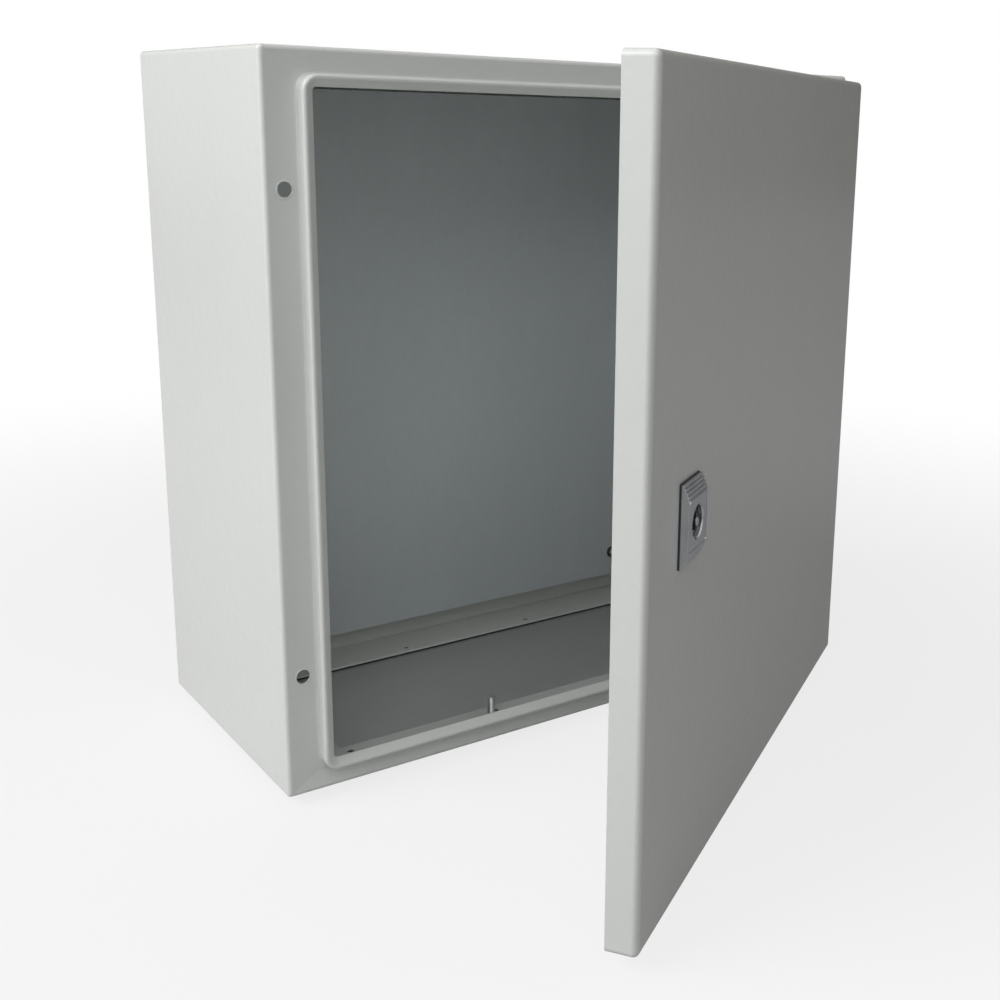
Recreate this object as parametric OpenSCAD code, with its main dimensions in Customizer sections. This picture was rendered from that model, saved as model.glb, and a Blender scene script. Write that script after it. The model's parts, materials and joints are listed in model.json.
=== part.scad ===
// Wall-mounting steel enclosure with a hinged door, gland plate and mounting plate.
// The back lies in the plane Y = 0, the door faces -Y and Z points up.
// The origin is the middle of the four wall fixing holes.

/* [Cabinet] */
// Width of the cabinet
body_w = 500; // [440:10:600]
// Height of the cabinet
body_h = 500; // [460:10:700]
// Depth of the body without its door
body_d = 228; // [180:2:280]
// Thickness of the body sheet
sheet = 1.5; // [1.2:0.1:1.6]
// Outer radius of the body's folded edges
edge_r = 3; // [2.5:0.5:3.5]

/* [Front frame] */
// Width of the flange beside the opening
side_flange = 24; // [23:0.5:26]
// Width of the flange above and below the opening
end_flange = 16.5; // [16:0.5:22]
// How far the flange dishes in to make the rain gutter
gutter = 1.5; // [1:0.1:1.6]
// How far the lip stands forward of the body
lip_reach = 9; // [8:0.5:11]
// Corner radius of the lip
lip_corner = 10.4; // [9.8:0.2:12]
// Length of the lip's inward return
lip_return = 6; // [4:0.2:6.4]

/* [Door] */
// Depth of the door pan
door_t = 20; // [19:0.5:21]
// Gap between the body and the edge of the pan
door_gap = 2; // [1.8:0.1:2.4]
// Gap from the door's sides to the body's sides
door_side_gap = 2; // [1.5:0.5:3]
// Gap above the door
door_top_gap = 5; // [3:0.5:6]
// Gap below the door
door_bottom_gap = 3; // [2:0.5:6]
// Outer radius of the door's folded edges
door_r = 4; // [3.5:0.5:4.5]
// Angle at which the door stands open
door_open = 33; // [0:0.1:90]

/* [Hinges] */
// Height of each hinge above and below the middle
hinge_z = 163; // [120:1:165]
// Distance of the hinge pin from the body's side
pin_inset = 9; // [8.8:0.1:9.2]
// Distance of the hinge pin in front of the body
pin_reach = 14; // [13.8:0.1:14.2]
// Diameter of the hinge pin
pin_d = 4; // [3.5:0.5:4]
// Diameter of the hinge holes in the side flanges
hinge_hole_d = 10.5; // [10:0.5:11]

/* [Lock] */
// Distance of the lock from the body's left side
lock_inset = 68.5; // [66:0.5:80]
// Height of the lock relative to the middle
lock_z = -7.5; // [-40:0.5:40]
// Width of the lock housing
lock_w = 33; // [30:1:36]
// Height of the lock housing
lock_h = 49; // [46:1:54]

/* [Floor and mounting plate] */
// Width of the floor opening under the gland plate
gland_w = 380; // [300:10:380]
// Depth of the floor opening
gland_d = 138; // [100:2:138]
// Distance from the body's front to the floor opening
gland_setback = 48; // [46:1:60]
// Width of the mounting plate
plate_w = 450; // [400:5:470]
// Height of the mounting plate
plate_h = 455; // [430:5:465]
// Space between the back wall and the front of the mounting plate
plate_stand = 20; // [18:1:30]
// Distance between the wall fixing holes, both ways
wall_pitch = 450; // [400:5:450]

/* [Hidden] */
$fn = 64;

// Clearances
slide_gap = 0.05;    // radial gap of a turning pair
seat_gap = 0.02;     // radial gap of a pin held still
seal_gap = 0.3;      // gap left between the lip and the seal

// Sheet-metal bends
bend_in = edge_r - sheet;
base_r = 1.5;        // inner radius where the lip rises out of the gutter
foot_inset = 2.5;    // width of the level strip and bend at the lip's foot
crest_in = 0.4;      // inner radius at the lip's crest
crest_turn = 180 - atan(4 / 3);   // the return leans in by 4 where it goes back by 3

// Door
door_w = body_w - 2 * door_side_gap;
door_h = body_h - door_top_gap - door_bottom_gap;
door_mid = (door_bottom_gap - door_top_gap) / 2;
door_face = door_gap + door_t;
door_inner = door_face - sheet;
gasket_w = 12;
gasket_h = door_inner - lip_reach - seal_gap;
crest_line = crest_in + sheet;   // distance of the crest inside the lip's outer face

// Hinges, seen from above with the pin at the origin
pin_x = body_w / 2 - pin_inset;
pin_y = -body_d - pin_reach;
eye_r = 4;
knuckle_h = 18;
ear_h = 8;
ear_gap = 0.5;
foot_h = 44;
foot_t = 2.5;
notch_h = 48;
leaf_h = 76;
leaf_t = 1.8;
leaf_stud_z = 30;
hinge_hole_inset = 14;

// Floor
gland_back = -body_d + gland_setback + gland_d;
gland_front = -body_d + gland_setback;
gland_mid = (gland_front + gland_back) / 2;
gland_rim = 13;
gland_corner = 1.5;
gland_screw_rows = [gland_front - 8, gland_back + 8];
gland_screw_pitch = gland_w * 0.326;
gasket_t = 2;
gland_top = -body_h / 2 - gasket_t;

// Mounting plate
plate_t = 2;
plate_y = -sheet - plate_stand;
upper_fixing_x = plate_w / 2 - 42;
lower_fixing_x = plate_w / 2 - 56;
fixing_z = plate_h / 2 - 22.5;
fixings = [for (x = [-1, 1])
    each [[x * upper_fixing_x, fixing_z], [x * lower_fixing_x, -fixing_z]]];
fixing_d = 5;
washer_t = 1.5;
nut_t = 4;

// Lock
lock_x = -body_w / 2 + lock_inset;
lock_gasket_t = 1;
lock_t = 5;
lock_wedge = 9;          // height of the slope at the housing's lower end
lock_ribs = 8.6;         // height of the ribbed slope at its upper end
recess_d = 19.4;
recess_depth = 4.2;
recess_chamfer = 0.8;
barrel_d = 21;
spindle_d = 12;
barrel_end = 3;          // height of the barrel's end above the body's front
cam_t = 3;
cam_reach = 41.5;
cam_square = 8;
lock_nut_t = 5;

steel_paint = "#d5d6d1";
zinc = "#b9bcc0";
plate_zinc = "#7f888c";
rubber = "#1c1d1f";
diecast = "#9a9da3";

// ---- folded sheet ----

// A bend of the given inner radius round the origin, entered towards +X
module bend(r, turn) {
    reach = 2 * (r + sheet);
    intersection() {
        difference() {
            circle(r + sheet);
            circle(r);
        }
        translate([0, -reach]) square([reach, 2 * reach]);
        rotate(-turn) translate([-reach, -reach]) square([reach, 2 * reach]);
    }
}

// Cross-section of a folded sheet that lies to the right of its path.
// Each move is [straight length, turn, inner radius]; a positive turn goes right.
module fold(moves, i = 0) {
    if (i < len(moves)) {
        length = moves[i][0];
        turn = moves[i][1];
        r = moves[i][2];
        if (length > 0) translate([0, -sheet]) square([length, sheet]);
        if (turn > 0) {
            translate([length, -(r + sheet)]) {
                bend(r, turn);
                rotate(-turn) translate([0, r + sheet]) fold(moves, i + 1);
            }
        }
        if (turn < 0) {
            translate([length, r]) {
                bend(r, turn);
                rotate(-turn) translate([0, -r]) fold(moves, i + 1);
            }
        }
    }
}

// Sweeps a cross-section round a rectangle with rounded corners.
// In the cross-section X runs inwards from the rectangle and Y runs forwards.
module frame_sweep(w, h, r) {
    for (side = [0:3]) {
        span = side % 2 == 0 ? w : h;
        reach = (side % 2 == 0 ? h : w) / 2;
        rotate(90 * side) {
            translate([-span / 2 + r, -reach, 0])
                rotate([90, 0, 90]) linear_extrude(span - 2 * r) children();
            translate([-span / 2 + r, -reach + r, 0])
                rotate(180) rotate_extrude(angle = 90) translate([r, 0]) mirror([1, 0]) children();
        }
    }
}

// Rectangle with rounded corners, built from true arcs
module round_rect(w, h, r) {
    square([w - 2 * r, h], center = true);
    square([w, h - 2 * r], center = true);
    for (x = [-1, 1], y = [-1, 1]) translate([x * (w / 2 - r), y * (h / 2 - r)]) circle(r);
}

// Turns a front view, drawn in X and Y with Z forwards, to face -Y on the body's front
module on_front() {
    translate([0, -body_d, 0]) rotate([90, 0, 0]) children();
}

// Places a piece of the door, given as it sits when the door is shut
module on_door() {
    translate([pin_x, pin_y, 0]) rotate(door_open) translate([-pin_x, -pin_y, 0]) children();
}

// Front view of the shut door
module on_door_front() {
    on_door() on_front() children();
}

// ---- body ----

// One side of the flange: it slopes back from the bend to a level strip at the lip's foot
module flange_plate(foot, reach) {
    end = foot + 9;
    translate([-reach, 0, 0]) rotate([90, 0, 90]) linear_extrude(2 * reach)
        polygon([[edge_r, 0], [edge_r, -sheet], [foot, -gutter - sheet], [end, -gutter - sheet],
            [end, -gutter], [foot, -gutter]]);
}

// The four sloping flanges, mitred at the corners
module flange_frame() {
    for (side = [0:3]) {
        level = side % 2 == 0;
        across = (level ? body_w : body_h) / 2;
        reach = (level ? body_h : body_w) / 2;
        foot = (level ? end_flange : side_flange) - foot_inset;
        other = (level ? side_flange : end_flange) - foot_inset;
        rotate(90 * side) intersection() {
            translate([0, -reach, 0]) flange_plate(foot, across);
            translate([0, 0, -gutter - sheet - 1]) linear_extrude(gutter + sheet + 2) polygon([
                [across - edge_r, -reach + edge_r], [across - other, -reach + foot],
                [across - other - 9, -reach + foot + 9], [-across + other + 9, -reach + foot + 9],
                [-across + other, -reach + foot], [-across + edge_r, -reach + edge_r]]);
        }
    }
}

module lip_section() {
    translate([-base_r, -gutter]) fold([[0, -90, base_r],
        [lip_reach + gutter - base_r - crest_in - sheet, crest_turn, crest_in],
        [lip_return, 0, 0]]);
}

module body_wrap() {
    lip_w = body_w - 2 * side_flange;
    lip_h = body_h - 2 * end_flange;
    $fn = 32;
    color(steel_paint) difference() {
        on_front() {
            frame_sweep(body_w, body_h, edge_r)
                translate([0, -body_d]) rotate(90) fold([[body_d - edge_r, 90, bend_in]]);
            difference() {
                flange_frame();
                translate([0, 0, -10]) linear_extrude(20)
                    round_rect(lip_w + 2 * base_r, lip_h + 2 * base_r, lip_corner + base_r);
            }
            frame_sweep(lip_w, lip_h, lip_corner) lip_section();
        }
        for (x = [-1, 1], z = [-1, 1])
            translate([x * (body_w / 2 - hinge_hole_inset), -body_d - 5, z * hinge_z])
                rotate([-90, 0, 0]) cylinder(d = hinge_hole_d, h = 12);
        translate([0, gland_mid, -body_h / 2 - 1]) linear_extrude(sheet + 2)
            round_rect(gland_w, gland_d, gland_corner);
        gland_screw_places() translate([0, 0, -body_h / 2 - 1]) cylinder(d = 5.1, h = sheet + 2);
    }
}

module back_panel() {
    w = body_w - 2 * sheet;
    h = body_h - 2 * sheet;
    color(steel_paint) rotate([90, 0, 0]) linear_extrude(sheet) difference() {
        round_rect(w, h, bend_in);
        for (x = [-1, 1], z = [-1, 1])
            translate([x, z] * wall_pitch / 2) circle(d = 8.5);
    }
}

// ---- mounting plate ----

module mounting_plate() {
    color(plate_zinc) translate([0, plate_y + plate_t, 0]) rotate([90, 0, 0])
        linear_extrude(plate_t) difference() {
            round_rect(plate_w, plate_h, 3);
            for (p = fixings) translate(p) circle(d = fixing_d + 0.5);
        }
}

module at_fixings(y) {
    for (p = fixings) translate([p[0], y, p[1]]) rotate([90, 0, 0]) children();
}

module hex_nut(flats, bore, t) {
    intersection() {
        difference() {
            cylinder(d = flats * 2 / sqrt(3), h = t, $fn = 6);
            translate([0, 0, -1]) cylinder(d = bore, h = t + 2);
        }
        translate([0, 0, -flats * 0.36]) cylinder(r1 = flats * 1.26, r2 = flats * 0.5, h = t + flats * 0.36);
    }
}

module plate_studs() {
    color(zinc) at_fixings(-sheet) stud(fixing_d, plate_stand + 11);
}

// Weld stud with a collar at its foot and a chamfered tip
module stud(d, length) {
    cylinder(d = d * 1.25, h = 0.8);
    cylinder(d = d, h = length - d * 0.12);
    translate([0, 0, length - d * 0.12]) cylinder(d1 = d, d2 = d * 0.76, h = d * 0.12);
}

module plate_spacers() {
    color(zinc) at_fixings(-sheet) difference() {
        cylinder(d = 12, h = plate_stand - plate_t);
        translate([0, 0, -1]) cylinder(d = fixing_d * 1.25 + 0.4, h = plate_stand + 2);
    }
}

module plate_washers() {
    color(rubber) at_fixings(plate_y) difference() {
        cylinder(d = fixing_d + 6, h = washer_t);
        translate([0, 0, -1]) cylinder(d = fixing_d + 0.2, h = washer_t + 2);
    }
}

module plate_nuts() {
    color(zinc) at_fixings(plate_y - washer_t) hex_nut(8, fixing_d + 0.1, nut_t);
}

// ---- floor ----

module gland_screw_places() {
    for (y = gland_screw_rows, k = [-1.5:1.5]) translate([k * gland_screw_pitch, y, 0]) children();
}

module gland_outline() {
    difference() {
        round_rect(gland_w + 2 * gland_rim, gland_d + 2 * gland_rim, 5);
        children();
    }
}

module gland_plate() {
    color(plate_zinc) difference() {
        translate([0, gland_mid, gland_top - sheet]) linear_extrude(sheet) gland_outline();
        gland_screw_places() translate([0, 0, gland_top - sheet - 1]) cylinder(d = 5.4, h = sheet + 2);
    }
}

module gland_gasket() {
    color(rubber) difference() {
        translate([0, gland_mid, gland_top]) linear_extrude(gasket_t)
            gland_outline() round_rect(gland_w + 2, gland_d + 2, gland_corner + 1);
        gland_screw_places() translate([0, 0, gland_top - 1]) cylinder(d = 5.4, h = gasket_t + 2);
    }
}

module gland_screws() {
    head_z = gland_top - sheet;
    color(zinc) gland_screw_places() {
        translate([0, 0, head_z]) cylinder(d = 5, h = -body_h / 2 - head_z + 0.5);
        translate([0, 0, head_z - 1]) cylinder(d = 10, h = 1);
        translate([0, 0, head_z - 3.5]) difference() {
            cylinder(d1 = 6.6, d2 = 8, h = 2.5);
            translate([0, 0, -1]) cylinder(d = 4.6, h = 2.4, $fn = 6);
        }
    }
}

module earth_stud() {
    color(zinc) translate([-70, -body_d + 33, -body_h / 2 + sheet]) stud(6, 16);
}

// ---- hinge side ----

// How far the side flange lies behind the body's front, at a distance from the body's side
function flange_drop(inset) = gutter * (inset - edge_r) / (side_flange - foot_inset - edge_r);

// Surface of the side flange, as a distance behind the pin, at the distance x beside it
function flange_y(x) = pin_reach + flange_drop(pin_inset - x);

module hinge_bracket() {
    spigot_x = pin_inset - hinge_hole_inset;
    foot_x = pin_inset - side_flange + foot_inset;
    foot_y = pin_reach - foot_t;
    difference() {
        union() {
            translate([0, 0, -foot_h / 2]) linear_extrude(foot_h) polygon([[foot_x, foot_y],
                [4, foot_y], [4, flange_y(4)], [foot_x, flange_y(foot_x)]]);
            for (side = [-1, 1])
                translate([0, 0, side * (knuckle_h + ear_h + 2 * ear_gap) / 2])
                    linear_extrude(ear_h, center = true) {
                        circle(eye_r);
                        polygon([[-2.3, 3.3], [-4.6, 6.6], [-4.6, foot_y + 0.5],
                            [foot_x, foot_y + 0.5], [foot_x, 6.5], [-3.9, -0.8], [0, 0]]);
                    }
            translate([spigot_x, foot_y + 1, 0]) rotate([-90, 0, 0])
                cylinder(d = hinge_hole_d - 0.3, h = flange_y(spigot_x) - foot_y + sheet - 1.2);
        }
        translate([0, 0, -foot_h]) cylinder(d = pin_d + 2 * seat_gap, h = 2 * foot_h);
        translate([spigot_x, foot_y - 1, 0]) rotate([-90, 0, 0]) cylinder(d = 6.1, h = 12);
    }
}

module at_hinge(side) {
    translate([pin_x, pin_y, side * hinge_z]) children();
}

module upper_hinge_bracket() {
    color(diecast) at_hinge(1) hinge_bracket();
}

module lower_hinge_bracket() {
    color(diecast) at_hinge(-1) hinge_bracket();
}

module hinge_bracket_bolts() {
    seat = flange_y(pin_inset - hinge_hole_inset - 7) + sheet;
    color(zinc) for (side = [-1, 1]) at_hinge(side)
        translate([pin_inset - hinge_hole_inset, 0, 0]) rotate([-90, 0, 0]) {
            translate([0, 0, pin_reach - foot_t + 0.3]) cylinder(d = 6, h = foot_t + sheet + 3);
            translate([0, 0, seat]) cylinder(d = 14, h = 1.5);
            translate([0, 0, seat + 1.5]) cylinder(d = 10 * 2 / sqrt(3), h = 4, $fn = 6);
        }
}

module hinge_pin() {
    reach = knuckle_h / 2 + ear_gap + ear_h;
    translate([0, 0, -reach - 1]) cylinder(d = pin_d, h = 2 * reach + 1);
    translate([0, 0, reach]) cylinder(d = pin_d + 2.4, h = 1.6);
    translate([0, 0, reach + 1.6]) cylinder(d1 = pin_d + 2.4, d2 = pin_d + 0.4, h = 0.8);
}

module upper_hinge_pin() {
    color(zinc) at_hinge(1) hinge_pin();
}

module lower_hinge_pin() {
    color(zinc) at_hinge(-1) hinge_pin();
}

module hinge_leaf() {
    back = pin_reach - door_inner;
    difference() {
        union() {
            translate([-10, back, -leaf_h / 2]) cube([12.5, leaf_t, leaf_h]);
            translate([0, 0, -knuckle_h / 2]) linear_extrude(knuckle_h) {
                circle(eye_r);
                translate([-eye_r, back]) square([eye_r + 2.5, -back]);
            }
        }
        translate([0, 0, -knuckle_h]) cylinder(d = pin_d + 2 * slide_gap, h = 2 * knuckle_h);
        for (z = [-1, 1]) translate([-4, back - 1, z * leaf_stud_z]) rotate([-90, 0, 0])
            cylinder(d = 6.6, h = leaf_t + 2);
    }
}

module upper_hinge_leaf() {
    color(zinc) on_door() at_hinge(1) hinge_leaf();
}

module lower_hinge_leaf() {
    color(zinc) on_door() at_hinge(-1) hinge_leaf();
}

module at_leaf_studs() {
    on_door_front() for (hinge = [-1, 1], z = [-1, 1])
        translate([pin_x - 4, hinge * hinge_z + z * leaf_stud_z, door_inner]) rotate([180, 0, 0])
            children();
}

module hinge_leaf_studs() {
    color(zinc) at_leaf_studs() stud(5, 8);
}

module hinge_leaf_nuts() {
    color(zinc) at_leaf_studs() translate([0, 0, leaf_t]) hex_nut(8, 5.1, 4);
}

// ---- door ----

module door_panel() {
    color(steel_paint) on_door_front() difference() {
        translate([0, door_mid, 0]) {
            frame_sweep(door_w, door_h, door_r)
                translate([0, door_gap]) rotate(90) fold([[door_t - door_r, 90, door_r - sheet]]);
            translate([0, 0, door_inner]) linear_extrude(sheet)
                square([door_w - 2 * door_r + 0.2, door_h - 2 * door_r + 0.2], center = true);
        }
        for (side = [-1, 1])
            translate([door_w / 2 - door_r, side * hinge_z - notch_h / 2, door_gap - 1])
                cube([door_r + 1, notch_h, pin_reach - door_gap + 1]);
        translate([lock_x, lock_z, door_inner - 1]) cylinder(d = barrel_d + 0.8, h = sheet + 2);
    }
}

module door_gasket() {
    dome_r = gasket_w * 0.75;
    w = body_w - 2 * side_flange - 2 * crest_line + gasket_w;
    h = body_h - 2 * end_flange - 2 * crest_line + gasket_w;
    color(rubber) on_door_front() translate([0, 0, door_inner])
        frame_sweep(w, h, gasket_w + 2) intersection() {
            translate([0, -gasket_h]) square([gasket_w, gasket_h]);
            translate([gasket_w / 2, dome_r - gasket_h]) circle(dome_r, $fn = 96);
        }
}

module door_earth_stud() {
    color(zinc) on_door_front() translate([pin_x - 60, -hinge_z - 20, door_inner])
        rotate([180, 0, 0]) stud(6, 14);
}

// ---- lock ----

// Front view of the lock, with its axis at the origin and Z = 0 on the door's face
module at_lock() {
    on_door_front() translate([lock_x, lock_z, door_face]) children();
}

// Side view of the housing: Y up the door, X out from the gasket
module lock_profile() {
    top = lock_h / 2;
    rib = lock_ribs / 4;
    polygon([[0, -top], [0.8, -top], [lock_t, -top + lock_wedge], [lock_t, top - lock_ribs],
        for (k = [0:3]) each [
            [lock_t - 0.9 * k - 0.9, top - lock_ribs + rib * k + 0.3],
            [lock_t - 0.9 * k - 0.2, top - lock_ribs + rib * k + 0.9],
            [lock_t - 0.9 * k - 0.5, top - lock_ribs + rib * (k + 1)]],
        [0, top]]);
}

module lock_housing() {
    recess_z = lock_gasket_t + lock_t - recess_depth;
    color(diecast) at_lock() difference() {
        union() {
            translate([-lock_w / 2, 0, lock_gasket_t]) rotate([0, -90, 180]) mirror([0, 1, 0])
                linear_extrude(lock_w) lock_profile();
            translate([0, 0, barrel_end - door_face]) intersection() {
                cylinder(d = barrel_d, h = door_face - barrel_end + lock_gasket_t);
                translate([-barrel_d, -barrel_d * 0.42, -1])
                    cube([2 * barrel_d, barrel_d * 0.84, door_face + 9]);
            }
        }
        translate([0, 0, recess_z]) cylinder(d = recess_d, h = recess_depth + 1);
        translate([0, 0, lock_gasket_t + lock_t - recess_chamfer])
            cylinder(d1 = recess_d, d2 = recess_d + 4 * recess_chamfer, h = 2 * recess_chamfer);
        translate([0, 0, barrel_end - door_face - 1])
            cylinder(d = spindle_d + 2 * slide_gap, h = door_face + 8);
    }
}

module lock_gasket() {
    color(rubber) at_lock() difference() {
        linear_extrude(lock_gasket_t) round_rect(lock_w + 1.2, lock_h + 1.2, 1.5);
        translate([0, 0, -1]) cylinder(d = barrel_d + 0.4, h = lock_gasket_t + 2);
    }
}

module lock_nut() {
    color(zinc) on_door_front() translate([lock_x, lock_z, door_inner - lock_nut_t])
        hex_nut(27, barrel_d + 0.2, lock_nut_t);
}

// Turning part of the lock: a keyed head in the recess and a spindle through the barrel
module lock_insert() {
    floor_z = lock_gasket_t + lock_t - recess_depth;
    head_t = 0.8;
    spindle_top = floor_z + head_t;
    spindle_end = barrel_end - door_face - cam_t;
    key_h = recess_depth - head_t - 0.6;
    color("#2a2c30") at_lock() {
        difference() {
            union() {
                translate([0, 0, floor_z]) cylinder(d = recess_d - 1.6, h = head_t);
                translate([0, 0, barrel_end - door_face])
                    cylinder(d = spindle_d, h = spindle_top - barrel_end + door_face);
                translate([-cam_square / 2, -cam_square / 2, spindle_end])
                    cube([cam_square, cam_square, cam_t + 1]);
            }
            translate([0, 0, spindle_end - 1]) cylinder(d = 5.1, h = 9);
        }
        translate([0, 0, spindle_top - 0.5]) cylinder(d = 5, h = key_h + 0.5);
        translate([-1.5, -5, spindle_top - 0.5]) cube([3, 10, key_h + 0.2]);
    }
}

module lock_cam() {
    color(zinc) at_lock() translate([0, 0, barrel_end - door_face - cam_t]) linear_extrude(cam_t)
        difference() {
            union() {
                circle(r = 10);
                polygon([[-5, -cam_reach], [5, -cam_reach], [7, -cam_reach + 5], [8, 1], [-8, 1],
                    [-7, -cam_reach + 5]]);
            }
            square(cam_square + 0.1, center = true);
        }
}

module cam_screw() {
    end_z = barrel_end - door_face - cam_t;
    color(zinc) at_lock() {
        translate([0, 0, end_z - 1.2]) cylinder(d = 13, h = 1.2);
        translate([0, 0, end_z - 4.7]) cylinder(d = 8 * 2 / sqrt(3), h = 3.5, $fn = 6);
        translate([0, 0, end_z - 2]) cylinder(d = 5, h = 9);
    }
}

body_wrap();
back_panel();
mounting_plate();
plate_studs();
plate_spacers();
plate_washers();
plate_nuts();
gland_plate();
gland_gasket();
gland_screws();
earth_stud();
upper_hinge_bracket();
lower_hinge_bracket();
hinge_bracket_bolts();
upper_hinge_pin();
lower_hinge_pin();
upper_hinge_leaf();
lower_hinge_leaf();
hinge_leaf_studs();
hinge_leaf_nuts();
door_panel();
door_gasket();
door_earth_stud();
lock_housing();
lock_gasket();
lock_nut();
lock_insert();
lock_cam();
cam_screw();
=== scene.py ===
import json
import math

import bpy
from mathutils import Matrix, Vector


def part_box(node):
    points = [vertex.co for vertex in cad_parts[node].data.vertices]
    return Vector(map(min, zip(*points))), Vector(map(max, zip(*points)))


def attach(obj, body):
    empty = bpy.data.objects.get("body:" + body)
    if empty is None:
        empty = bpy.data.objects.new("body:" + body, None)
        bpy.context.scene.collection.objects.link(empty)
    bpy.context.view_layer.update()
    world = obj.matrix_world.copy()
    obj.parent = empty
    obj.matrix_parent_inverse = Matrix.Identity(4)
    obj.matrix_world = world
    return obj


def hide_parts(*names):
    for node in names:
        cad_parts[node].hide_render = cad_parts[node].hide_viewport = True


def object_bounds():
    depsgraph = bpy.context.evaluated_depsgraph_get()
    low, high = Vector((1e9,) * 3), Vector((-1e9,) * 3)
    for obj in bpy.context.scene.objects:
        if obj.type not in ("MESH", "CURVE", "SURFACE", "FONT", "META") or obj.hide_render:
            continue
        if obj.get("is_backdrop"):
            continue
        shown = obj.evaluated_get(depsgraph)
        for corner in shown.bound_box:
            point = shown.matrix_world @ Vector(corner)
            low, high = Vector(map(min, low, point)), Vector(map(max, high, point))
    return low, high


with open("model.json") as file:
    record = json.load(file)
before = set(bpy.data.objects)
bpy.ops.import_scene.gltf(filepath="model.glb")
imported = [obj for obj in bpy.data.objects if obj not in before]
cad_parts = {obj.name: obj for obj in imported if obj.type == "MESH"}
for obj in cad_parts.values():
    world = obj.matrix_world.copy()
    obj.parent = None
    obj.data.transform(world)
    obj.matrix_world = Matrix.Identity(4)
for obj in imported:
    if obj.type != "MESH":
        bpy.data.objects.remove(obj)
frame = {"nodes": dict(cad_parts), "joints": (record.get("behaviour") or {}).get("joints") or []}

# %% [markdown]
# # A steel wall cabinet, dressed for a picture
# The frame holds every sheet, hinge and screw at its true size. This lesson adds what a solid
# model leaves out: the paint's texture, the zinc, the threads, the welds and the light.
# First we note the box round the frame, to print it beside the dressed cabinet's box at the end.

cad_low, cad_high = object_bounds()
nodes = frame["nodes"]
MM = 0.001
print("frame box", [round(v, 4) for v in (*cad_low, *cad_high)])

# %% [markdown]
# ## Camera
# The cabinet is seen from its left, a little above the middle, with the door ajar. A slightly
# long lens keeps the edges of the box nearly parallel.

# %% Camera
bpy.ops.object.camera_add(location=(-0.56346, -1.03402, 0.21263),
                          rotation=[math.radians(a) for a in (76.561, -1.515, -37.469)])
camera = bpy.context.object
camera.data.lens = 47.812
camera.data.shift_x = -0.1576
camera.data.shift_y = -0.0649
camera.data.clip_start = 0.01
bpy.context.scene.camera = camera
bpy.context.scene.view_settings.view_transform = "Standard"
print("camera at", [round(v, 3) for v in camera.location])

# %% [markdown]
# ## Studio
# One broad soft lamp stands high on the left, as a window would, and a weaker one in front of the
# cabinet opens up its inside.

# %% Soft lamps
def soft_lamp(name, place, aim, size, power):
    """Adds a square area lamp at place that points at aim."""
    bpy.ops.object.light_add(type="AREA", location=place)
    lamp = bpy.context.object
    lamp.name = name
    lamp.data.size = size
    lamp.data.energy = power
    lamp.rotation_euler = (Vector(aim) - Vector(place)).to_track_quat("-Z", "Y").to_euler()
    return lamp


soft_lamp("window", (-1.95, 0.05, 1.45), (0, -0.15, 0), 1.6, 53)
soft_lamp("front_fill", (-0.9, -1.7, 1.45), (0, -0.2, 0.1), 1.2, 10)

# %% [markdown]
# ## Building shaders by script
# Shaders are graphs. Adding a node takes the same three steps each time: make it, set its
# options, and fill or link its inputs. One helper does all three, so that a graph reads as a
# list. A second one finds the rays that a shiny surface sends out, which the world and the floor
# both need to know.

# %% Node helpers
def add(tree, kind, inputs=None, **settings):
    """Adds one shader node, sets its properties, and links or fills its inputs."""
    made = tree.nodes.new(kind)
    for key, value in settings.items():
        setattr(made, key, value)
    for key, value in (inputs or {}).items():
        if isinstance(value, bpy.types.NodeSocket):
            tree.links.new(value, made.inputs[key])
        else:
            made.inputs[key].default_value = value
    return made


def shiny_rays(tree, path):
    """One for a ray that left a shiny or clear surface, and zero for any other."""
    return add(tree, "ShaderNodeMath", {0: path.outputs["Is Glossy Ray"],
                                        1: path.outputs["Is Transmission Ray"]},
               operation="MAXIMUM").outputs[0]


# %% [markdown]
# ## World
# The world fills the shadows. It is brightest at the front left and faint at the back right, so
# the open door's face stays darker than the cabinet's side. Shiny metal sees a brighter room,
# with a light ceiling and a slightly warm right side. Only the camera sees the pure white
# backdrop.

# %% World
world = bpy.context.scene.world or bpy.data.worlds.new("studio")
bpy.context.scene.world = world
world.use_nodes = True
tree = world.node_tree
tree.nodes.clear()
direction = add(tree, "ShaderNodeTexCoord")
front_left = (-0.8, -0.6, 0.0)
toward = add(tree, "ShaderNodeVectorMath", {0: direction.outputs["Generated"],
                                            1: front_left}, operation="DOT_PRODUCT")
axes = add(tree, "ShaderNodeSeparateXYZ", {0: direction.outputs["Generated"]})
ceiling = add(tree, "ShaderNodeMapRange", {"Value": axes.outputs["Z"], "From Min": 0.3,
                                            "From Max": 0.9, "To Min": 0.0, "To Max": 0.9})
path = add(tree, "ShaderNodeLightPath")


def room_light(left, right):
    """A strength that fades from the front left of the room to the back right."""
    return add(tree, "ShaderNodeMapRange", {"Value": toward.outputs["Value"], "From Min": 1.0,
                                            "From Max": -1.0, "To Min": left,
                                            "To Max": right}).outputs["Result"]


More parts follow.
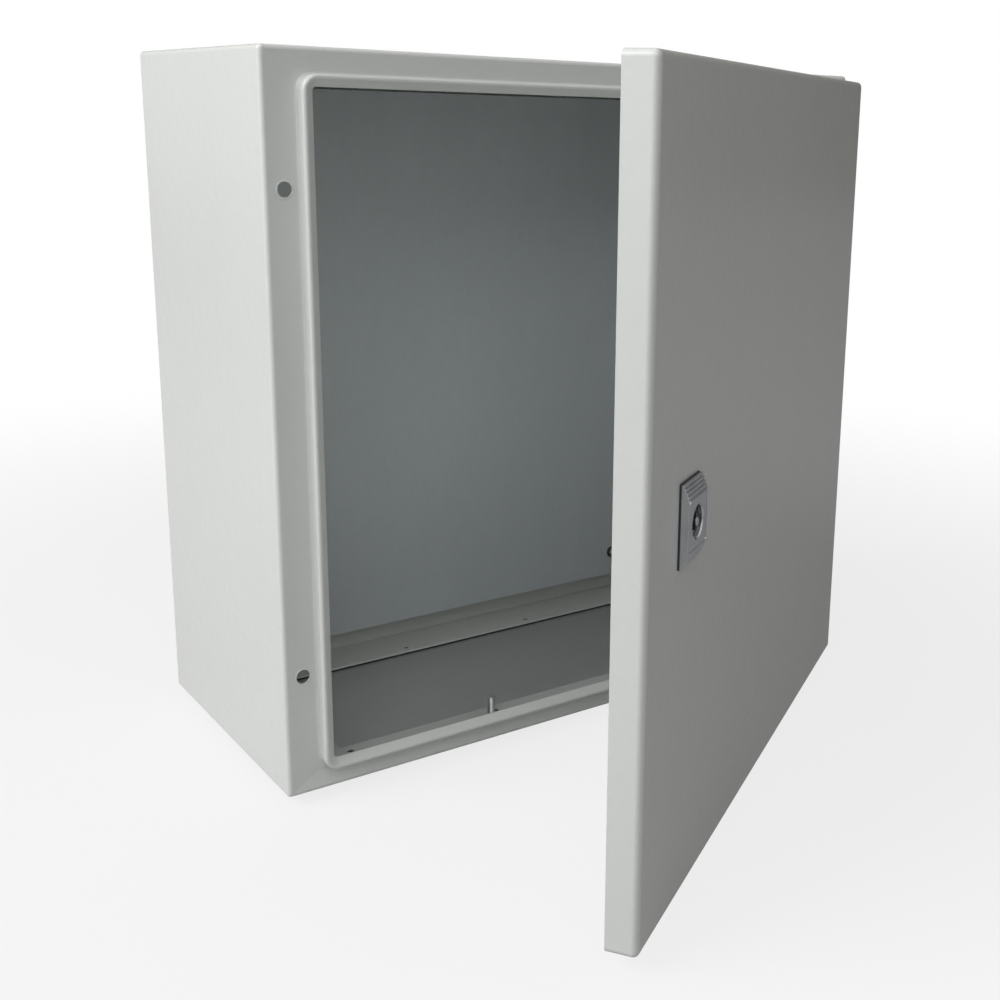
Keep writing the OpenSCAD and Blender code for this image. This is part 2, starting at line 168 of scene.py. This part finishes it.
mirrored = add(tree, "ShaderNodeMath", {0: room_light(0.95, 0.1), 1: ceiling.outputs["Result"]},
               operation="ADD")
seen = add(tree, "ShaderNodeMix", {"Factor": shiny_rays(tree, path), "A": room_light(0.38, 0.07),
                                    "B": mirrored.outputs[0]}, data_type="FLOAT")
cool, warm = (0.97, 0.98, 1.0, 1.0), (1.0, 0.95, 0.86, 1.0)
warmth = add(tree, "ShaderNodeMapRange", {"Value": toward.outputs["Value"], "From Min": 0.4,
                                           "From Max": -0.8})
tint = add(tree, "ShaderNodeMix", {"Factor": warmth.outputs["Result"],
                                    "A": cool, "B": warm},
           data_type="RGBA")
room = add(tree, "ShaderNodeBackground", {"Color": tint.outputs["Result"],
                                           "Strength": seen.outputs[0]})
white = add(tree, "ShaderNodeBackground", {"Color": (1, 1, 1, 1), "Strength": 1.0})
choice = add(tree, "ShaderNodeMixShader", {0: path.outputs["Is Camera Ray"],
                                            1: room.outputs[0], 2: white.outputs[0]})
add(tree, "ShaderNodeOutputWorld", {"Surface": choice.outputs[0]})
print("world nodes", len(tree.nodes))

# %% [markdown]
# ## Floor
# A pale floor lies just under the gland screws. It glows for the camera, and a little in shiny
# metal, so it melts into the backdrop. The glow is weaker near the cabinet, where the floor
# keeps the cabinet's shadow.

# %% Floor
floor_z = cad_low[2] - 1 * MM
bpy.ops.object.select_all(action="DESELECT")
bpy.ops.mesh.primitive_plane_add(size=14, location=(0, 0, floor_z))
floor = bpy.context.object
floor.name = "floor"
paint = bpy.data.materials.new("floor")
paint.use_nodes = True
tree = paint.node_tree
tree.nodes.clear()
matt = add(tree, "ShaderNodeBsdfDiffuse", {"Color": (0.5, 0.5, 0.5, 1)})
glow = add(tree, "ShaderNodeEmission", {"Color": (1, 1, 1, 1), "Strength": 1.0})
path = add(tree, "ShaderNodeLightPath")
part = add(tree, "ShaderNodeMath", {0: shiny_rays(tree, path), 1: 0.12}, operation="MULTIPLY")
spot = add(tree, "ShaderNodeTexCoord")
span = add(tree, "ShaderNodeVectorMath", {0: spot.outputs["Object"]}, operation="LENGTH")
fade = add(tree, "ShaderNodeMapRange", {"Value": span.outputs["Value"], "From Min": 0.35,
                                         "From Max": 1.3, "To Min": 0.8, "To Max": 1.0},
           interpolation_type="SMOOTHSTEP")
share = add(tree, "ShaderNodeMath", {0: path.outputs["Is Camera Ray"],
                                      1: fade.outputs["Result"], 2: part.outputs[0]},
            operation="MULTIPLY_ADD")
blend = add(tree, "ShaderNodeMixShader", {0: share.outputs[0], 1: matt.outputs[0],
                                           2: glow.outputs[0]})
add(tree, "ShaderNodeOutputMaterial", {"Surface": blend.outputs[0]})
floor.data.materials.append(paint)
floor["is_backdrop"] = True
print("floor at", round(floor_z, 4))

# %% [markdown]
# ## Finishes
# Each finish starts from one helper: a Principled shader whose tone and roughness wander a
# little with noise. A Bevel node rounds the shading along the folded edges, and a bump on top
# of it gives the grain. All patterns read Object coordinates, so they stay on the metal.

# %% Surface helper
def surface(name, dark, light, rough, metal=0.0, patch=4.0, grain=600.0, bump=0.05,
            edge=0.0006, stretch=(1, 1, 1), depth=0.0002):
    """A finish with a wandering tone, a fine grain and softened edges."""
    made = bpy.data.materials.new(name)
    made.use_nodes = True
    t = made.node_tree
    t.nodes.clear()
    place = add(t, "ShaderNodeTexCoord")
    turned = add(t, "ShaderNodeMapping", {"Vector": place.outputs["Object"], "Scale": stretch})
    wide = add(t, "ShaderNodeTexNoise", {"Vector": turned.outputs[0], "Scale": patch,
                                          "Detail": 4.0, "Roughness": 0.6})
    fine = add(t, "ShaderNodeTexNoise", {"Vector": turned.outputs[0], "Scale": grain,
                                          "Detail": 3.0, "Roughness": 0.55})
    both = add(t, "ShaderNodeMix", {"Factor": 0.35, "A": wide.outputs["Fac"],
                                     "B": fine.outputs["Fac"]}, data_type="FLOAT")
    tone = add(t, "ShaderNodeValToRGB", {"Fac": both.outputs[0]})
    tone.color_ramp.elements[0].position = 0.3
    tone.color_ramp.elements[0].color = (*dark, 1)
    tone.color_ramp.elements[1].position = 0.7
    tone.color_ramp.elements[1].color = (*light, 1)
    gloss = add(t, "ShaderNodeMapRange", {"Value": both.outputs[0], "From Min": 0.3,
                                           "From Max": 0.7, "To Min": rough[0],
                                           "To Max": rough[1]})
    soft = add(t, "ShaderNodeBevel", {"Radius": edge}, samples=4)
    relief = add(t, "ShaderNodeBump", {"Strength": bump, "Distance": depth,
                                        "Height": fine.outputs["Fac"],
                                        "Normal": soft.outputs[0]})
    shader = add(t, "ShaderNodeBsdfPrincipled", {"Base Color": tone.outputs["Color"],
                                                  "Roughness": gloss.outputs["Result"],
                                                  "Normal": relief.outputs[0],
                                                  "Metallic": metal})
    add(t, "ShaderNodeOutputMaterial", {"Surface": shader.outputs[0]})
    return made


# %% [markdown]
# Powder coat is sprayed dry and melted on, so it keeps a shallow orange-peel ripple a few
# millimetres wide, with a finer grit over it. It is the finish the eye sees most.

# %% Powder coat
powder = surface("powder_coat", (0.615, 0.63, 0.61), (0.66, 0.67, 0.65), (0.2, 0.28),
                 patch=3.0, grain=420.0, bump=0.2, edge=0.0004, depth=0.0003)
tree = powder.node_tree
peel = add(tree, "ShaderNodeTexNoise", {"Scale": 120.0, "Detail": 1.0})
place = next(n for n in tree.nodes if n.type == "MAPPING")
tree.links.new(place.outputs[0], peel.inputs["Vector"])
relief = next(n for n in tree.nodes if n.type == "BUMP")
shader = next(n for n in tree.nodes if n.type == "BSDF_PRINCIPLED")
ripple = add(tree, "ShaderNodeBump", {"Strength": 0.3, "Distance": 0.0006,
                                       "Height": peel.outputs["Fac"],
                                       "Normal": relief.outputs[0]})
tree.links.new(ripple.outputs[0], shader.inputs["Normal"])
for name in ("body_wrap", "back_panel", "door_panel"):
    nodes[name].data.materials[0] = powder
print("powder coat on the three painted sheets")

# %% [markdown]
# The mounting plate and the gland plate are bare zinc-coated sheet. Zinc freezes in broad
# crystals, each a slightly different grey, and the rolling leaves faint streaks: up and down on
# the mounting plate, and across the gland plate, which is also the shinier and less blue one.

# %% Zinc-coated sheet
galvanised = surface("zinc_sheet", (0.475, 0.515, 0.525), (0.535, 0.575, 0.585), (0.36, 0.5),
                     metal=0.2, patch=9.0, grain=260.0, bump=0.08, edge=0.0004,
                     stretch=(1, 1, 0.35))
gland_sheet = surface("gland_sheet", (0.47, 0.475, 0.47), (0.53, 0.535, 0.53), (0.3, 0.42),
                      metal=0.35, patch=7.0, grain=240.0, bump=0.08, edge=0.0004,
                      stretch=(0.35, 1, 1))
nodes["mounting_plate"].data.materials[0] = galvanised
nodes["gland_plate"].data.materials[0] = gland_sheet
print("zinc sheet on both plates")

# %% [markdown]
# The small parts need five more finishes. Plated fixings and hinges are nearly pure metal, the
# lock housing is a cast metal with a satin skin, the gland screws and the lock insert are
# blackened, and the seals hardly shine at all. The same helper makes them, and a list then
# says which node wears which finish.

# %% Bright zinc, die-cast metal, rubber and foam
bright_zinc = surface("zinc_steel", (0.50, 0.51, 0.52), (0.66, 0.66, 0.65), (0.25, 0.4),
                      metal=0.9, patch=60.0, grain=900.0, bump=0.1, edge=0.0003)
die_cast = surface("die_cast", (0.46, 0.475, 0.51), (0.6, 0.61, 0.635), (0.16, 0.28),
                   metal=0.85, patch=40.0, grain=1200.0, bump=0.2, edge=0.0005)
dark_steel = surface("dark_steel", (0.03, 0.031, 0.034), (0.06, 0.06, 0.063), (0.3, 0.45),
                     metal=0.4, patch=80.0, grain=1500.0, bump=0.1, edge=0.0003)
rubber = surface("black_rubber", (0.012, 0.012, 0.013), (0.03, 0.03, 0.031), (0.6, 0.8),
                 patch=30.0, grain=900.0, bump=0.3, edge=0.0004)
foam = surface("seal_foam", (0.02, 0.02, 0.021), (0.05, 0.05, 0.051), (0.75, 0.9),
               patch=25.0, grain=1600.0, bump=0.8, edge=0.0006)
finishes = {
    "plate_studs": bright_zinc, "plate_spacers": bright_zinc, "plate_nuts": bright_zinc,
    "gland_screws": dark_steel, "earth_stud": bright_zinc, "door_earth_stud": bright_zinc,
    "hinge_bracket_bolts": bright_zinc, "upper_hinge_pin": bright_zinc,
    "lower_hinge_pin": bright_zinc, "upper_hinge_leaf": bright_zinc,
    "lower_hinge_leaf": bright_zinc, "hinge_leaf_studs": bright_zinc,
    "hinge_leaf_nuts": bright_zinc, "lock_nut": bright_zinc, "lock_cam": bright_zinc,
    "cam_screw": bright_zinc, "upper_hinge_bracket": die_cast, "lower_hinge_bracket": die_cast,
    "lock_housing": die_cast, "lock_insert": dark_steel, "plate_washers": rubber,
    "gland_gasket": rubber, "lock_gasket": rubber, "door_gasket": foam}
for name, finish in finishes.items():
    nodes[name].data.materials[0] = finish
print("finishes given to", len(finishes), "nodes")

# %% [markdown]
# ## Modelling helpers
# Each new piece is modelled at the origin in its own small frame, where Z points out of the
# surface that carries it, and is then moved to its place by one matrix. That keeps the edits
# simple, and the piece's object stays at the origin as the frame's own nodes do.

# %% Modelling helpers
def clear_selection():
    """Deselects everything, so that the next operator acts on its own piece alone."""
    bpy.ops.object.select_all(action="DESELECT")


def keep_faces(piece, wanted):
    """Selects only the faces that pass a test, ready for edit mode."""
    bpy.ops.object.mode_set(mode="OBJECT")
    for vertex in piece.data.vertices:
        vertex.select = False
    for edge in piece.data.edges:
        edge.select = False
    for face in piece.data.polygons:
        face.select = wanted(face)
    bpy.ops.object.mode_set(mode="EDIT")
    bpy.ops.mesh.select_mode(type="FACE")


def place_piece(piece, name, matrix, finish, body):
    """Bakes a piece's place into its mesh and hands it to its body."""
    if bpy.context.mode != "OBJECT":
        bpy.ops.object.mode_set(mode="OBJECT")
    piece.data.transform(matrix @ piece.matrix_world)
    piece.matrix_world = Matrix.Identity(4)
    piece.name = name
    piece.data.materials.clear()
    piece.data.materials.append(finish)
    clear_selection()
    piece.select_set(True)
    bpy.context.view_layer.objects.active = piece
    bpy.ops.object.shade_smooth_by_angle(angle=math.radians(35))
    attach(piece, body)
    return piece


def facing(origin, right, up):
    """The matrix of a spot whose X runs right, Y runs up and Z points out of the surface."""
    right, up = Vector(right).normalized(), Vector(up).normalized()
    turn = Matrix((right, up, right.cross(up))).transposed().to_4x4()
    return Matrix.Translation(origin) @ turn


lock = next(j for j in frame["joints"] if j["name"] == "lock_turn")
outward = -Vector(lock["axis"])
up = Vector((0, 0, 1))
door_right = up.cross(outward)
at_lock = facing(lock["pos_m"], door_right, up)
print("lock faces", [round(v, 3) for v in outward])

# %% [markdown]
# ## Threads
# The earth studs are M6, which has a thread pitch of 1 mm. A true helix is hard to close at its
# ends, so we use rings instead: the shank is cut into bands half a pitch high, and every other
# ring of points is pinched in. At this size no eye can tell the two apart.

# %% Threaded studs
def ring_heights(piece):
    """The heights at which a piece has points, from the lowest up."""
    return sorted({round(v.co.z, 6) for v in piece.data.vertices})


def threaded_stud(name, matrix, length, body):
    """A weld stud with a collar at its foot, a threaded shank and a raised tip."""
    radius, pitch, collar = 3.0 * MM, 1.0 * MM, 0.8 * MM
    root, collar_flare = 0.82, 1.25
    shank = length - collar
    clear_selection()
    bpy.ops.mesh.primitive_cylinder_add(vertices=28, radius=radius, depth=shank,
                                        location=(0, 0, collar + shank / 2))
    stud = bpy.context.object
    bpy.ops.object.transform_apply(location=True)
    bpy.ops.object.mode_set(mode="EDIT")
    bpy.ops.mesh.select_all(action="DESELECT")
    bpy.ops.mesh.select_mode(type="EDGE")
    bpy.ops.object.mode_set(mode="OBJECT")
    for edge in stud.data.edges:
        low, high = (stud.data.vertices[i].co.z for i in edge.vertices)
        edge.select = abs(high - low) > shank / 2
    bands = 2 * int(shank / pitch)
    bpy.ops.object.mode_set(mode="EDIT")
    bpy.ops.mesh.subdivide(number_cuts=bands - 1)
    bpy.ops.object.mode_set(mode="OBJECT")
    for number, height in enumerate(ring_heights(stud)):
        if number % 2 and number < bands:
            for vertex in stud.data.vertices:
                if abs(vertex.co.z - height) < 1e-6:
                    vertex.co.x *= root
                    vertex.co.y *= root
    keep_faces(stud, lambda face: face.normal.z > 0.9)
    bpy.ops.mesh.inset(thickness=0.5 * MM, depth=0.35 * MM)
    keep_faces(stud, lambda face: face.normal.z < -0.9)
    bpy.ops.mesh.extrude_region_move(TRANSFORM_OT_translate={"value": (0, 0, -collar)})
    bpy.ops.transform.resize(value=(collar_flare, collar_flare, 1), center_override=(0, 0, 0))
    return place_piece(stud, name, matrix, bright_zinc, body)


low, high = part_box("earth_stud")
stud = threaded_stud("earth_stud_thread",
                     Matrix.Translation(((low.x + high.x) / 2, (low.y + high.y) / 2, low.z)),
                     high.z - low.z, "cabinet")
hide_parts("earth_stud")
print("floor stud", round((high.z - low.z) / MM, 1), "mm, faces", len(stud.data.polygons))

# %% [markdown]
# The door's stud points into the cabinet, and the door stands ajar, so its place can't be read
# from a plain box. We measure the node along the door's own directions instead.

# %% Door stud
def reach(name, axis):
    """The lowest and the highest place of a node's points along an axis."""
    along = [vertex.co.dot(axis) for vertex in nodes[name].data.vertices]
    return min(along), max(along)


tip, foot = reach("door_earth_stud", outward)
across, height = (sum(reach("door_earth_stud", axis)) / 2 for axis in (door_right, up))
foot_place = outward * foot + door_right * across + up * height
stud = threaded_stud("door_stud_thread", facing(foot_place, -door_right, up), foot - tip,
                     "door")
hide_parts("door_earth_stud")
print("door stud", round((foot - tip) / MM, 1), "mm long")

# %% [markdown]
# ## Lock
# The key recess shows a bright pin end, and a fine line runs round the flat of the housing. The
# pin end is a short disc with a raised rim. The line is a narrow ridge: a flat rectangle with
# rounded corners, inset, emptied and raised by a few tenths of a millimetre.

# %% Key pin end
face_out, pin_r, pin_t = 16 * MM, 2.55 * MM, 0.5 * MM
pin_sunk = 0.75 * MM
clear_selection()
bpy.ops.mesh.primitive_cylinder_add(vertices=40, radius=pin_r, depth=pin_t,
                                    location=(0, 0, face_out - pin_sunk))
pin_end = bpy.context.object
bpy.ops.object.transform_apply(location=True)
keep_faces(pin_end, lambda face: face.normal.z > 0.9)
bpy.ops.mesh.inset(thickness=0.35 * MM, depth=0.25 * MM)
bpy.ops.mesh.inset(thickness=0.9 * MM, depth=-0.3 * MM)
place_piece(pin_end, "key_pin_end", at_lock, bright_zinc, "lock_spindle")
print("pin end faces", len(pin_end.data.polygons))

# %% Ridge round the housing's flat
housing_w, housing_h = 33 * MM, 49 * MM
slope_below, ribs_above = 9 * MM, 8.6 * MM
flat_low, flat_high = slope_below - housing_h / 2, housing_h / 2 - ribs_above
side_margin, end_margin = 0.8 * MM, 0.4 * MM
clear_selection()
bpy.ops.mesh.primitive_plane_add(size=1, location=(0, (flat_low + flat_high) / 2, face_out))
ridge = bpy.context.object
ridge.scale = (housing_w - 2 * side_margin, flat_high - flat_low - 2 * end_margin, 1)
bpy.ops.object.transform_apply(location=True, scale=True)
keep_faces(ridge, lambda face: True)
bpy.ops.mesh.bevel(offset=2 * MM, segments=6, affect="VERTICES")
bpy.ops.mesh.select_all(action="SELECT")
bpy.ops.mesh.inset(thickness=0.45 * MM, depth=0)
bpy.ops.mesh.delete(type="FACE")
bpy.ops.object.mode_set(mode="OBJECT")
solid = ridge.modifiers.new("height", "SOLIDIFY")
solid.thickness = 0.22 * MM
solid.offset = 1
bpy.ops.object.modifier_apply(modifier=solid.name)
place_piece(ridge, "lock_face_ridge", at_lock, die_cast, "door")
print("ridge faces", len(ridge.data.polygons))

# %% [markdown]
# ## Paint at the spare hinge holes
# Powder gathers on a sharp edge, so each open hole in the left flange wears a thin rounded
# collar of paint. The flange slopes a little, so the leftmost and rightmost points of the hole
# give the collar's middle, its width and its tilt. It starts as a ring, which is then flattened.

# %% Paint collars
flange_left, flange_right, flange_back = -0.245, -0.225, -0.22
hole_height, hole_reach = 0.163, 0.006


def hole_rim(side):
    """The leftmost and rightmost points of one open hole, on the flange's outer face."""
    near = [v.co for v in nodes["body_wrap"].data.vertices
            if flange_left < v.co.x < flange_right and v.co.y < flange_back
            and abs(v.co.z * side - hole_height) < hole_reach]
    outer = sorted(near, key=lambda point: point.y)[:len(near) // 2]
    return min(outer, key=lambda point: point.x), max(outer, key=lambda point: point.x)


for side, label in ((1, "upper"), (-1, "lower")):
    left, right = hole_rim(side)
    hole_r = (right - left).length / 2
    clear_selection()
    bpy.ops.mesh.primitive_torus_add(major_radius=hole_r + 0.2 * MM, minor_radius=0.6 * MM,
                                     major_segments=56, minor_segments=10)
    collar = bpy.context.object
    bpy.ops.object.mode_set(mode="EDIT")
    bpy.ops.mesh.select_all(action="SELECT")
    bpy.ops.transform.resize(value=(1, 1, 0.7), center_override=(0, 0, 0))
    middle = (left + right) / 2
    across = (right.x - left.x, right.y - left.y, 0)
    place_piece(collar, label + "_hole_collar", facing(middle, across, up), powder,
                "cabinet")
    print(label, "hole", round(2 * hole_r / MM, 2), "mm wide at", round(middle.z, 4))

# %% [markdown]
# ## Sizes
# The dressed cabinet's box is printed, as the frame's was, so that the two can be compared.

# %% Sizes and finish
low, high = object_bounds()
print("visual box", [round(v, 4) for v in (*low, *high)])
